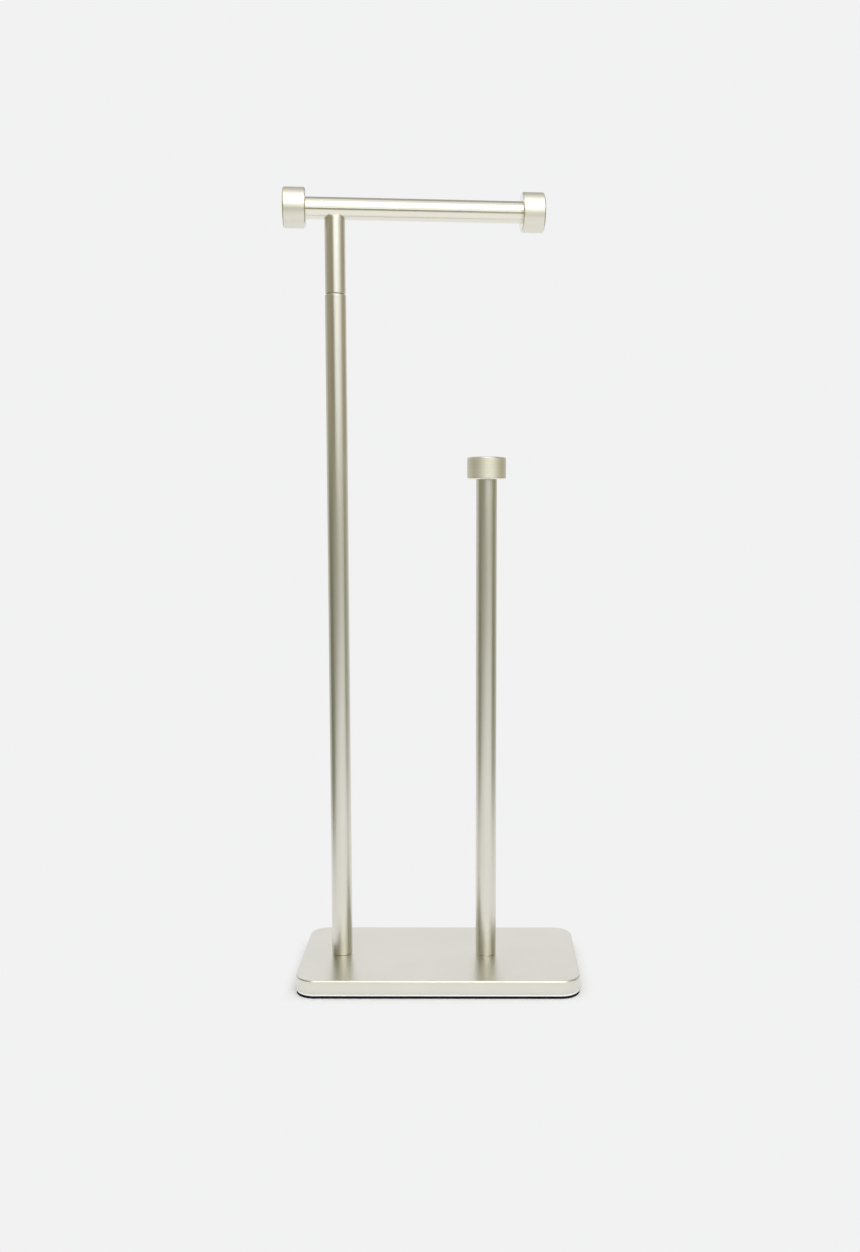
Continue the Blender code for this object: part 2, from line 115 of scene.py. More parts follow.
def stage_panel(name, corner, across, along, material):
    """A flat rectangle of the studio, from one corner and its two sides."""
    work = bmesh.new()
    bmesh.ops.create_grid(work, x_segments=1, y_segments=1, size=0.5)
    corner, across, along = Vector(corner), Vector(across), Vector(along)
    facing = across.cross(along).normalized()
    place = Matrix((across, along, facing)).transposed().to_4x4()
    place.translation = corner + (across + along) / 2
    bmesh.ops.transform(work, matrix=place, verts=work.verts)
    mesh = bpy.data.meshes.new(name)
    work.to_mesh(mesh)
    work.free()
    mesh.materials.append(material)
    panel = bpy.data.objects.new(name, mesh)
    scene.collection.objects.link(panel)
    return panel


def bare_finish(name):
    """A material with an empty node tree."""
    finish = bpy.data.materials.new(name)
    finish.use_nodes = True
    finish.node_tree.nodes.clear()
    return finish, finish.node_tree


# The floor's own shading, with the shadow, shows only close to the plate. It fades into an even
# glow with the distance outside the plate's rectangle.
floor_finish, tree = bare_finish("pale_floor")
matt = one_colour(tree, "ShaderNodeBsdfDiffuse", FLOOR_COLOUR)
glow = one_colour(tree, "ShaderNodeEmission", PALE)
plate_low, plate_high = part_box("base_plate")
outside = tree.nodes.new("ShaderNodeTexCoord").outputs["Object"]
for operation, amount in (
    ("ABSOLUTE", None),
    ("SUBTRACT", (plate_high.x, plate_high.y, 0)),
    ("MAXIMUM", (0, 0, 0)),
):
    step = tree.nodes.new("ShaderNodeVectorMath")
    step.operation = operation
    if amount:
        step.inputs[1].default_value = amount
    tree.links.new(outside, step.inputs[0])
    outside = step.outputs[0]
distance = tree.nodes.new("ShaderNodeVectorMath")
distance.operation = "LENGTH"
tree.links.new(outside, distance.inputs[0])
fade = tree.nodes.new("ShaderNodeMapRange")
fade.interpolation_type = "SMOOTHSTEP"
fade.inputs["From Max"].default_value = SHADOW_REACH
tree.links.new(distance.outputs["Value"], fade.inputs["Value"])
share = tree.nodes.new("ShaderNodeMath")
share.operation = "MULTIPLY"
tree.links.new(fade.outputs["Result"], share.inputs[0])
tree.links.new(seen_directly(tree), share.inputs[1])
end_between(tree, share.outputs[0], matt, glow, "ShaderNodeOutputMaterial")
floor_corner = (-FLOOR_SIDE / 2, -FLOOR_SIDE / 2, 0)
stage_panel("floor", floor_corner, (FLOOR_SIDE, 0, 0), (0, FLOOR_SIDE, 0), floor_finish)


def card(name, colour, corner, across, along):
    """A card that glows evenly, shows only in the metal and throws neither light nor shadow."""
    finish, tree = bare_finish(name)
    even = one_colour(tree, "ShaderNodeEmission", (*colour, 1.0))
    tree.links.new(even.outputs[0], tree.nodes.new("ShaderNodeOutputMaterial").inputs["Surface"])
    panel = stage_panel(name, corner, across, along, finish)
    panel.visible_camera = False
    panel.visible_diffuse = False
    panel.visible_shadow = False


# Each card has a colour, one corner, and its two sides from there.
card("card_on_floor", (0.93, 0.93, 0.91), (-0.40, -1.00, 0.0004), (0.80, 0, 0), (0, 0.932, 0))
card("card_front_low", (0.86, 0.85, 0.83), (-0.26, -1.10, 0), (0.58, 0, 0), (0, 0, 0.12))
card("card_front", (0.19, 0.17, 0.06), (-0.26, -1.10, 0.12), (0.58, 0, 0), (0, 0, 0.32))
card("card_front_right_low", (0.69, 0.70, 0.66), (0.32, -1.10, 0), (0.63, 0.52, 0), (0, 0, 0.22))
card("card_front_right", (0.31, 0.27, 0.12), (0.32, -1.10, 0.22), (0.63, 0.52, 0), (0, 0, 0.20))
card("card_front_left_low", (0.31, 0.32, 0.27), (-0.62, -0.70, 0), (0.36, -0.40, 0), (0, 0, 0.42))
card("card_front_left", (0.16, 0.14, 0.07), (-0.62, -0.70, 0.42), (0.36, -0.40, 0), (0, 0, 0.50))
card("card_left_front_low", (0.29, 0.27, 0.20), (-0.62, -0.70, 0), (0.16, 0.45, 0), (0, 0, 0.40))
card("card_left_front", (0.30, 0.27, 0.17), (-0.62, -0.70, 0.40), (0.16, 0.45, 0), (0, 0, 0.52))
card("card_left_low", (0.18, 0.19, 0.13), (-0.46, -0.25, 0), (0, 0.35, 0), (0, 0, 0.40))
card("card_left", (0.38, 0.34, 0.24), (-0.46, -0.25, 0.40), (0, 0.35, 0), (0, 0, 0.52))
card("card_left_behind", (0.63, 0.63, 0.59), (-0.46, 0.10, 0), (-0.06, 0.80, 0), (0, 0, 1.45))
card("card_right_low", (0.25, 0.26, 0.17), (0.57, -0.30, 0), (0, 0.45, 0), (0, 0, 0.40))
card("card_right", (0.40, 0.36, 0.22), (0.57, -0.30, 0.40), (0, 0.45, 0), (0, 0, 0.52))
card("card_right_behind_low", (0.47, 0.47, 0.41), (0.57, 0.15, 0), (0, 0.30, 0), (0, 0, 0.40))
card("card_right_behind", (0.33, 0.30, 0.24), (0.57, 0.15, 0.40), (0, 0.30, 0), (0, 0, 0.60))
card("card_right_far", (0.68, 0.67, 0.64), (0.57, 0.45, 0), (0, 0.65, 0), (0, 0, 1.45))
card("card_rear", (0.42, 0.40, 0.36), (-1.50, 1.30, 1.35), (3.00, 0, 0), (0, -1.10, 0.75))


def soft_lamp(name, place, aim, width, height, power, colour):
    """A rectangular soft lamp that shines from its place towards a point."""
    lamp_data = bpy.data.lights.new(name, "AREA")
    lamp_data.shape = "RECTANGLE"
    lamp_data.size = width
    lamp_data.size_y = height
    lamp_data.energy = power
    lamp_data.color = colour
    lamp = bpy.data.objects.new(name, lamp_data)
    scene.collection.objects.link(lamp)
    lamp.location = place
    lamp.rotation_mode = "QUATERNION"
    lamp.rotation_quaternion = (Vector(aim) - Vector(place)).to_track_quat("-Z", "Y")
    lamp.visible_camera = False


soft_lamp(
    "lamp_over_camera",
    place=(0.28, -1.16, 1.53),
    aim=(0.28, 0.0, 0.587),
    width=1.5,
    height=1.12,
    power=11.4,
    colour=(1.0, 1.0, 0.84),
)
soft_lamp(
    "lamp_under_it",
    place=(0.35, -1.40, 0.54),
    aim=(0.0, 0.0, 0.50),
    width=1.15,
    height=0.18,
    power=0.28,
    colour=(1.0, 1.0, 1.0),
)

# Non-slip pad and its backing
# A sheet of black closed-cell foam, die-cut to the plate's outline, on a layer of white foam tape
# that sticks it to the plate. Together they hide the screws' heads and keep steel off the floor.
CORNER_STEPS = 24
SHARP_ANGLE = math.radians(30)
TOUCHING = 1e-6


def cut_edges(work, edges, offset, segments):
    """Cuts edges back by an offset: flat in one segment, rounded in more."""
    bmesh.ops.bevel(
        work, geom=edges, offset=offset, affect="EDGES", segments=segments, profile=0.5, material=-1
    )


def slab(width, depth, radius, bottom, top, lower, upper, blunting):
    """A rectangular slab with round upright corners, chamfered rims and blunted edges."""
    work = bmesh.new()
    bmesh.ops.create_cube(work, size=1)
    bmesh.ops.scale(work, vec=(width, depth, top - bottom), verts=work.verts)
    bmesh.ops.translate(work, vec=(0, 0, (top + bottom) / 2), verts=work.verts)
    half = (top - bottom) / 2
    upright = [e for e in work.edges if abs(e.verts[0].co.z - e.verts[1].co.z) > half]
    cut_edges(work, upright, radius, CORNER_STEPS)
    for height, chamfer in ((bottom, lower), (top, upper)):
        rim = [e for e in work.edges if all(abs(v.co.z - height) < TOUCHING for v in e.verts)]
        cut_edges(work, rim, chamfer, 1)
    joined = [e for e in work.edges if len(e.link_faces) == 2]
    cut_edges(work, [e for e in joined if e.calc_face_angle() > SHARP_ANGLE], blunting, 2)
    # A narrow band inside each of the two broad faces keeps them flat up to the rim.
    for face in sorted(work.faces, key=lambda f: f.calc_area())[-2:]:
        bmesh.ops.inset_region(work, faces=[face], thickness=4 * blunting, use_even_offset=True)
    bmesh.ops.recalc_face_normals(work, faces=work.faces)
    return work


def as_piece(name, work, finish):
    """A smooth-shaded object at the origin from a finished bmesh."""
    mesh = bpy.data.meshes.new(name)
    work.to_mesh(mesh)
    work.free()
    mesh.shade_smooth()
    mesh.materials.append(finish)
    piece = bpy.data.objects.new(name, mesh)
    scene.collection.objects.link(piece)
    return piece


def new_finish(name, metallic):
    """A material with its shader, ready for nodes, and the piece's own coordinates."""
    finish = bpy.data.materials.new(name)
    finish.use_nodes = True
    tree = finish.node_tree
    shader = tree.nodes["Principled BSDF"]
    shader.inputs["Metallic"].default_value = metallic
    place = tree.nodes.new("ShaderNodeTexCoord").outputs["Object"]
    return finish, tree, shader, place


def relief(tree, shader, height, depth):
    """Feeds a height of 0 to 1 into the shader's normal, the given depth from low to high."""
    bump = tree.nodes.new("ShaderNodeBump")
    bump.inputs["Strength"].default_value = 1.0
    bump.inputs["Distance"].default_value = depth
    tree.links.new(height, bump.inputs["Height"])
    tree.links.new(bump.outputs["Normal"], shader.inputs["Normal"])


def blend_of(tree, amount, low, high):
    """A colour between two, by an amount of 0 to 1."""
    mix = tree.nodes.new("ShaderNodeMix")
    mix.data_type = "RGBA"
    mix.inputs["A"].default_value = (*low, 1.0)
    mix.inputs["B"].default_value = (*high, 1.0)
    tree.links.new(amount, mix.inputs["Factor"])
    return mix.outputs["Result"]


def spread(tree, amount, low, high):
    """A number between two, by an amount of 0 to 1."""
    wide = tree.nodes.new("ShaderNodeMapRange")
    wide.inputs["To Min"].default_value = low
    wide.inputs["To Max"].default_value = high
    tree.links.new(amount, wide.inputs["Value"])
    return wide.outputs["Result"]


def grain(tree, place, per_metre, detail):
    """Even, fine noise at so many grains a metre, from 0 to 1."""
    noise = tree.nodes.new("ShaderNodeTexNoise")
    noise.inputs["Scale"].default_value = per_metre
    noise.inputs["Detail"].default_value = detail
    tree.links.new(place, noise.inputs["Vector"])
    return noise.outputs["Fac"]


def foam_finish(name, low, high, smoothest, dullest, specular, cells, cell_depth, clouds, detail):
    """Foam with a skin of so many tiny cells a metre, its shade uneven from dust and handling."""
    finish, tree, shader, place = new_finish(name, 0.0)
    shader.inputs["Specular IOR Level"].default_value = specular
    skin = tree.nodes.new("ShaderNodeTexVoronoi")
    skin.inputs["Scale"].default_value = cells
    tree.links.new(place, skin.inputs["Vector"])
    dust = grain(tree, place, clouds, detail)
    roughness = spread(tree, skin.outputs["Distance"], smoothest, dullest)
    tree.links.new(blend_of(tree, dust, low, high), shader.inputs["Base Color"])
    tree.links.new(roughness, shader.inputs["Roughness"])
    relief(tree, shader, skin.outputs["Distance"], cell_depth)
    return finish


foam = foam_finish(
    "black_foam",
    low=(0.005, 0.005, 0.006),
    high=(0.013, 0.012, 0.013),
    smoothest=0.78,
    dullest=0.95,
    specular=0.12,
    cells=1400,
    cell_depth=0.00008,
    clouds=60,
    detail=2,
)
tape = foam_finish(
    "white_foam",
    low=(0.93, 0.93, 0.95),
    high=(0.89, 0.89, 0.92),
    smoothest=0.70,
    dullest=0.90,
    specular=0.5,
    cells=2200,
    cell_depth=0.00005,
    clouds=45,
    detail=3,
)

PLATE_CORNER = 0.015
SHEET_CHAMFER = 0.0002
SHEET_EDGE_BLUNTING = 0.00005
FILM = 0.00002
pad_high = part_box("nonslip_pad")[1]
pad_inset = plate_high.x - pad_high.x
pad_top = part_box("pad_backing")[0].z
for piece_name, node, slot, bottom, top, finish in (
    ("pad_sheet", "nonslip_pad", "black_foam", 0, pad_top, foam),
    ("pad_tape", "pad_backing", "white_foam", pad_top + FILM, plate_low.z - FILM, tape),
):
    work = slab(
        2 * pad_high.x,
        2 * pad_high.y,
        PLATE_CORNER - pad_inset,
        bottom,
        top,
        SHEET_CHAMFER,
        SHEET_CHAMFER,
        SHEET_EDGE_BLUNTING,
    )
    layer = as_piece(piece_name, work, finish)
    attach(layer, "stand")
    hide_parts(node)

# Base plate
# A slab of steel 10.5 mm thick that weighs the stand down: round corners, a small chamfer round the
# top and a slighter one underneath, blasted to an even satin and nickel plated. Two screws come up
# through it.
NICKEL_TONES = ((0.822, 0.806, 0.738), (0.785, 0.770, 0.702))
NICKEL_RIM = (0.842, 0.829, 0.770)
CLOUDS_A_METRE = 28
GRAINS_A_METRE = 1800
GRAIN_SHARE = 0.35
LINE_TINT = 0.25
LINE_HEIGHT = 0.8
RIM_POLISH = -0.6
FACED_POLISH = 0.45
PLATE_UPPER_CHAMFER = 0.0007
PLATE_LOWER_CHAMFER = 0.0005
STEEL_EDGE_BLUNTING = 0.00012


def new_group(name, inputs, outputs):
    """A node group with its sockets by label and kind, its entrance and its exit."""
    group = bpy.data.node_groups.new(name, "ShaderNodeTree")
    for way, sockets in (("INPUT", inputs), ("OUTPUT", outputs)):
        for label, kind in sockets.items():
            group.interface.new_socket(label, in_out=way, socket_type="NodeSocket" + kind)
    enter = group.nodes.new("NodeGroupInput").outputs
    leave = group.nodes.new("NodeGroupOutput").inputs
    return group, enter, leave


def add_share(tree, first, second, share):
    """The first number plus a share of the second."""
    added = tree.nodes.new("ShaderNodeMath")
    added.operation = "MULTIPLY_ADD"
    added.inputs[1].default_value = share
    tree.links.new(second, added.inputs[0])
    tree.links.new(first, added.inputs[2])
    return added.outputs[0]


def satin_group():
    """The satin that all the plated pieces share: clouds of slightly warmer and duller plate, a
    fine blasted grain, and rims a touch brighter where the polishing wheel ran over them. Faced
    ends are smoother."""
    group, enter, leave = new_group(
        "satin_plate",
        inputs={
            "Place": "Vector",
            "Lines": "Float",
            "Rim": "Float",
            "Faced": "Float",
            "Smoothest": "Float",
            "Dullest": "Float",
            "Light": "Color",
            "Deep": "Color",
        },
        outputs={"Colour": "Color", "Roughness": "Float", "Height": "Float"},
    )
    clouds = grain(group, enter["Place"], CLOUDS_A_METRE, 3)
    fine = grain(group, enter["Place"], GRAINS_A_METRE, 2)
    mottled = add_share(group, clouds, fine, GRAIN_SHARE)
    toned = group.nodes.new("ShaderNodeMix")
    toned.data_type = "RGBA"
    group.links.new(add_share(group, mottled, enter["Lines"], LINE_TINT), toned.inputs["Factor"])
    group.links.new(enter["Light"], toned.inputs["A"])
    group.links.new(enter["Deep"], toned.inputs["B"])
    rimmed = group.nodes.new("ShaderNodeMix")
    rimmed.data_type = "RGBA"
    rimmed.inputs["B"].default_value = (*NICKEL_RIM, 1.0)
    group.links.new(enter["Rim"], rimmed.inputs["Factor"])
    group.links.new(toned.outputs["Result"], rimmed.inputs["A"])
    group.links.new(rimmed.outputs["Result"], leave["Colour"])
    dull = group.nodes.new("ShaderNodeMapRange")
    group.links.new(add_share(group, mottled, enter["Rim"], RIM_POLISH), dull.inputs["Value"])
    group.links.new(enter["Smoothest"], dull.inputs["To Min"])
    group.links.new(enter["Dullest"], dull.inputs["To Max"])
    smoother = group.nodes.new("ShaderNodeMath")
    smoother.operation = "MULTIPLY"
    group.links.new(dull.outputs["Result"], smoother.inputs[0])
    group.links.new(spread(group, enter["Faced"], 1.0, FACED_POLISH), smoother.inputs[1])
    group.links.new(smoother.outputs[0], leave["Roughness"])
    group.links.new(add_share(group, fine, enter["Lines"], LINE_HEIGHT), leave["Height"])
    return group


satin_plate = satin_group()


def nickel(name, smoothest, dullest, depth, tones=NICKEL_TONES):
    """Satin nickel for one piece. Returns the material, its tree, its coordinates and its satin."""
    finish, tree, shader, place = new_finish(name, 1.0)
    satin = tree.nodes.new("ShaderNodeGroup")
    satin.node_tree = satin_plate
    satin.inputs["Smoothest"].default_value = smoothest
    satin.inputs["Dullest"].default_value = dullest
    for label, tone in zip(("Light", "Deep"), tones):
        satin.inputs[label].default_value = (*tone, 1.0)
    tree.links.new(place, satin.inputs["Place"])
    for layer, label in (("rim", "Rim"), ("faced", "Faced")):
        marked = tree.nodes.new("ShaderNodeAttribute")
        marked.attribute_name = layer
        tree.links.new(marked.outputs["Fac"], satin.inputs[label])
    tree.links.new(satin.outputs["Colour"], shader.inputs["Base Color"])
    tree.links.new(satin.outputs["Roughness"], shader.inputs["Roughness"])
    relief(tree, shader, satin.outputs["Height"], depth)
    return finish, tree, place, satin


plate_finish = nickel("satin_nickel_plate", smoothest=0.26, dullest=0.33, depth=0.000004)[0]
plate_work = slab(
    2 * plate_high.x,
    2 * plate_high.y,
    PLATE_CORNER,
    plate_low.z,
    plate_high.z,
    PLATE_LOWER_CHAMFER,
    PLATE_UPPER_CHAMFER,
    STEEL_EDGE_BLUNTING,
)
plate = as_piece("plate_slab", plate_work, plate_finish)
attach(plate, "stand")
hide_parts("base_plate")

# Screws, lock washers and foot plugs
# Each post has a steel plug pressed into its foot. A socket screw comes up through the plate into
# the plug, over a split spring washer. The screws are zinc plated, the plugs plain turned steel
# with a film of oil.
RAW_STEEL = {
    "low": (0.40, 0.40, 0.41),
    "high": (0.52, 0.51, 0.50),
    "smoothest": 0.30,
    "dullest": 0.52,
    "per_metre": 2600,
    "depth": 0.000010,
}
ZINC = {
    "low": (0.55, 0.57, 0.60),
    "high": (0.64, 0.65, 0.65),
    "smoothest": 0.26,
    "dullest": 0.42,
    "per_metre": 3200,
    "depth": 0.000006,
}
SPRING_STEEL = {
    "low": (0.15, 0.15, 0.17),
    "high": (0.26, 0.25, 0.26),
    "smoothest": 0.30,
    "dullest": 0.48,
    "per_metre": 2000,
    "depth": 0.000008,
}
STAINS_A_METRE = 140
STAIN_SHARE = 0.5
LEVEL = (0.0, 0.0, 0.0)


def line_group():
    """Noise drawn out round the Z axis, as a lathe's tool leaves it: by radius and height alone."""
    group, enter, leave = new_group(
        "turned_lines",
        inputs={"Place": "Vector", "Lines a Metre": "Float"},
        outputs={"Lines": "Float"},
    )
    apart = group.nodes.new("ShaderNodeSeparateXYZ")
    group.links.new(enter["Place"], apart.inputs[0])
    across = group.nodes.new("ShaderNodeCombineXYZ")
    for axis in "XY":
        group.links.new(apart.outputs[axis], across.inputs[axis])
    radius = group.nodes.new("ShaderNodeVectorMath")
    radius.operation = "LENGTH"
    group.links.new(across.outputs[0], radius.inputs[0])
    cut_place = group.nodes.new("ShaderNodeCombineXYZ")
    group.links.new(radius.outputs["Value"], cut_place.inputs["X"])
    group.links.new(apart.outputs["Z"], cut_place.inputs["Z"])
    cuts = group.nodes.new("ShaderNodeTexNoise")
    cuts.inputs["Detail"].default_value = 3
    cuts.inputs["Roughness"].default_value = 0.65
    group.links.new(cut_place.outputs[0], cuts.inputs["Vector"])
    group.links.new(enter["Lines a Metre"], cuts.inputs["Scale"])
    group.links.new(cuts.outputs["Fac"], leave["Lines"])
    return group


tool_lines = line_group()


def turned_lines(tree, place, centre, turn, per_metre):
    """Fine lines that run round a lathe's axis: rings on end faces, hoops on sides, from 0 to 1."""
    onto_axis = tree.nodes.new("ShaderNodeMapping")
    onto_axis.vector_type = "TEXTURE"
    onto_axis.inputs["Location"].default_value = centre
    onto_axis.inputs["Rotation"].default_value = turn
    tree.links.new(place, onto_axis.inputs["Vector"])
    lines = tree.nodes.new("ShaderNodeGroup")
    lines.node_tree = tool_lines
    lines.inputs["Lines a Metre"].default_value = per_metre
    tree.links.new(onto_axis.outputs["Vector"], lines.inputs["Place"])
    return lines.outputs["Lines"]


def dress(node, finish):
    """Gives a CAD node that stays its finish."""
    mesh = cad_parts[node].data
    mesh.materials.clear()
    mesh.materials.append(finish)


def dress_turned(node, name, centre, turn, low, high, smoothest, dullest, per_metre, depth):
    """Gives a CAD node that stays bare or plated steel off the lathe, with its tool lines and a
    little staining."""
    finish, tree, shader, place = new_finish(name, 1.0)
    lines = turned_lines(tree, place, centre, turn, per_metre)
    stain = grain(tree, place, STAINS_A_METRE, 4)
    worn = add_share(tree, spread(tree, lines, 0.0, 1 - STAIN_SHARE), stain, STAIN_SHARE)
    tree.links.new(blend_of(tree, stain, low, high), shader.inputs["Base Color"])
    tree.links.new(spread(tree, worn, smoothest, dullest), shader.inputs["Roughness"])
    relief(tree, shader, lines, depth)
    dress(node, finish)


def axis_of(node):
    """The upright axis of a turned node."""
    low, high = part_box(node)
    return ((low.x + high.x) / 2, (low.y + high.y) / 2, 0.0)


for post in ("main_post", "reserve_post"):
    centre = axis_of(post)
    for node, name, metal in (
        ("_foot_plug", "_foot_plug_steel", RAW_STEEL),
        ("_screw", "_screw_zinc", ZINC),
        ("_lock_washer", "_washer_steel", SPRING_STEEL),
    ):
        dress_turned(post + node, post + name, centre, LEVEL, **metal)

# Tall post and spare roll post
# Two steel tubes of 16 mm, cut square, their ends chamfered, ground round and satin nickel plated.
# Each stands on the plate over its foot plug and is drawn down by the screw from below.
ROUND_STEPS = 128
TUBE_WALL = 0.0012
TUBE_CHAMFER = 0.0006
TALL_POST_CHAMFER = 0.0009
GROUND_TUBE = {"smoothest": 0.27, "dullest": 0.34, "per_metre": 2200, "depth": 0.000012}


def turned(corners, blunting):
    """Spins a closed profile of (radius, height) corners about Z. Corners off the axis are blunted,
    and a point beside each keeps long walls straight. The layer named rim marks the blunted
    corners."""
    work = bmesh.new()
    rim = work.verts.layers.float.new("rim")
    outline, sharp = [], []
    for here, there in zip(corners, corners[1:] + corners[:1]):
        start, end = Vector((here[0], 0, here[1])), Vector((there[0], 0, there[1]))
        outline.append(work.verts.new(start))
        if start.x > 0:
            sharp.append(outline[-1])
        guard = 3 * blunting
        if (end - start).length > 3 * guard and max(start.x, end.x) > 0:
            step = (end - start).normalized() * guard
            outline += [work.verts.new(start + step), work.verts.new(end - step)]
    work.faces.new(outline)
    bmesh.ops.bevel(
        work, geom=sharp, offset=blunting, affect="VERTICES", segments=3, profile=0.5, material=-1
    )
    flat = {v for v in outline if v.is_valid}
    for vertex in work.verts:
        vertex[rim] = 0.0 if vertex in flat else 1.0
    bmesh.ops.delete(work, geom=work.faces[:], context="FACES_ONLY")
    core = [e for e in work.edges if all(v.co.x < TOUCHING for v in e.verts)]
    bmesh.ops.delete(work, geom=core, context="EDGES")
    bmesh.ops.spin(
        work,
        geom=work.verts[:] + work.edges[:],
        cent=(0, 0, 0),
        axis=(0, 0, 1),
        angle=math.tau,
        steps=ROUND_STEPS,
        use_merge=True,
        use_duplicate=False,
    )
    bmesh.ops.remove_doubles(work, verts=work.verts, dist=TOUCHING)
    bmesh.ops.recalc_face_normals(work, faces=work.faces)
    return work


def tube_corners(outer, inner, bottom, top, chamfer):
    """The profile of a tube whose two outer rims are chamfered."""
    return [
        (inner, bottom),
        (outer - chamfer, bottom),
        (outer, bottom + chamfer),
        (outer, top - chamfer),
        (outer - chamfer, top),
        (inner, top),
    ]


def nickel_turned(
    name, centre, turn, smoothest, dullest, per_metre, depth, tones=NICKEL_TONES, contrast=1.0
):
    """Satin nickel with the fine lines of grinding or turning round the piece's axis."""
    finish, tree, place, satin = nickel(name, smoothest, dullest, depth, tones)
    lines = turned_lines(tree, place, centre, turn, per_metre)
    drawn = spread(tree, lines, 0.5 - contrast / 2, 0.5 + contrast / 2)
    tree.links.new(drawn, satin.inputs["Lines"])
    return finish


for node, piece_name, chamfer in (
    ("main_post", "tall_post_tube", TALL_POST_CHAMFER),
    ("reserve_post", "spare_post_tube", TUBE_CHAMFER),
):
    low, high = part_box(node)
    centre = axis_of(node)
    outer = (high.x - low.x) / 2
    corners = tube_corners(outer, outer - TUBE_WALL, plate_high.z + FILM, high.z, chamfer)
    work = turned(corners, STEEL_EDGE_BLUNTING)
    bmesh.ops.translate(work, vec=centre, verts=work.verts)
    finish = nickel_turned("satin_nickel_" + node, centre, LEVEL, **GROUND_TUBE)
    tube = as_piece(piece_name, work, finish)
    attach(tube, "stand")
    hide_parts(node)

# Spare roll post's cap
# A turned steel cap, wider than the tube, that closes and finishes the post. A threaded stud in a
# plug holds it, and its mouth takes the last 1.5 mm of the tube.
CAP_TONES = ((0.905, 0.880, 0.790), (0.850, 0.826, 0.742))
SPARE_CAP_TONES = ((0.960, 0.940, 0.835), (0.835, 0.814, 0.715))
CAP_CHAMFER = 0.0008
CAP_SOCKET = 0.0015
CAP_LENGTH = 0.0168
STUD_HOLE = 0.0028
STUD_HOLE_END = 0.0103
SNUG = 0.00008


def turned_cap(rim_radius, socket_radius):
    """A cap off the lathe, its mouth at height 0. The layer named faced marks its mouth, its end
    and their chamfers, cut last."""
    corners = [
        (0, STUD_HOLE_END),
        (STUD_HOLE, STUD_HOLE_END),
        (STUD_HOLE, CAP_SOCKET),
        (socket_radius, CAP_SOCKET),
        (socket_radius, 0),
        (rim_radius - CAP_CHAMFER, 0),
        (rim_radius, CAP_CHAMFER),
        (rim_radius, CAP_LENGTH - CAP_CHAMFER),
        (rim_radius - CAP_CHAMFER, CAP_LENGTH),
        (0, CAP_LENGTH),
    ]
    work = turned(corners, STEEL_EDGE_BLUNTING)
    faced = work.verts.layers.float.new("faced")
    for vertex in work.verts:
        from_end = min(vertex.co.z, CAP_LENGTH - vertex.co.z)
        vertex[faced] = 1.0 if from_end < CAP_CHAMFER + 2 * STEEL_EDGE_BLUNTING else 0.0
    return work


low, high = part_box("reserve_cap")
centre = axis_of("reserve_cap")
post_radius = (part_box("reserve_post")[1].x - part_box("reserve_post")[0].x) / 2
work = turned_cap((high.x - low.x) / 2, post_radius + SNUG)
bmesh.ops.translate(work, vec=(centre[0], centre[1], low.z), verts=work.verts)
finish = nickel_turned(
    "satin_nickel_spare_cap",
    centre,
    LEVEL,
    smoothest=0.50,
    dullest=0.58,
    per_metre=650,
    depth=0.000012,
    tones=SPARE_CAP_TONES,
    contrast=8.0,
)
spare_cap = as_piece("spare_post_cap", work, finish)
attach(spare_cap, "stand")
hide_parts("reserve_cap")
dress_turned("reserve_cap_stud", "spare_cap_stud_zinc", centre, LEVEL, **ZINC)
dress_turned("reserve_post_head_plug", "spare_post_head_plug_steel", centre, LEVEL, **RAW_STEEL)

# Swivel
# A nylon bush with a thin flange sits in the bored plug at the tall post's head, its flange level
# with the tube's rim. A shoulder screw turns in it, over a wave washer for drag, and holds the
# turning post.
swivel_axis = axis_of("main_post")
dress_turned("main_post_head_plug", "tall_post_head_plug_steel", swivel_axis, LEVEL, **RAW_STEEL)
dress_turned("swivel_wave_washer", "wave_washer_steel", swivel_axis, LEVEL, **SPRING_STEEL)
dress_turned("swivel_screw", "swivel_screw_zinc", swivel_axis, LEVEL, **ZINC)

NYLON_LOW = (0.028, 0.027, 0.025)
NYLON_HIGH = (0.045, 0.043, 0.040)
nylon, tree, shader, place = new_finish("dark_nylon", 0.0)
lines = turned_lines(tree, place, swivel_axis, LEVEL, per_metre=2400)
flow = grain(tree, place, per_metre=300, detail=3)
tree.links.new(blend_of(tree, flow, NYLON_LOW, NYLON_HIGH), shader.inputs["Base Color"])
tree.links.new(spread(tree, lines, 0.45, 0.62), shader.inputs["Roughness"])
relief(tree, shader, lines, depth=0.000006)
dress("swivel_bush", nylon)

# Turning post
# A short tube that turns on the bush's flange, a hairline above the tall post, and carries the
# arm. Its top is milled to a saddle round the cross tube, its ears cut level and chamfered, with a
# plug at each end.
STUB_DIAMETER = 0.0154
STUB_WALL = 0.0012
STUB_FOOT_CHAMFER = 0.0004
STUB_EDGE_BLUNTING = 0.00006
SEAM = 0.0002
SADDLE_RISE = 0.0019
SADDLE_CHAMFER = 0.0006
MILL_REACH = 0.012
MILLED_ANGLE = math.radians(40)
ARM_DIAMETER = 0.0162
ARM_TURN = math.radians(5.6)
stub_outer = STUB_DIAMETER / 2
arm_outer = ARM_DIAMETER / 2
arm_low, arm_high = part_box("arm_tube")
arm_axis_height = (arm_low.z + arm_high.z) / 2
stub_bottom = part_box("main_post")[1].z + SEAM
ear_top = arm_axis_height - arm_outer + SADDLE_RISE
turn_about_post = Matrix.Translation(swivel_axis) @ Matrix.Rotation(ARM_TURN, 4, "Z")
up_to_arm = Matrix.Translation((0, 0, arm_axis_height))
along_arm = turn_about_post @ up_to_arm @ Matrix.Rotation(math.pi / 2, 4, "Y")

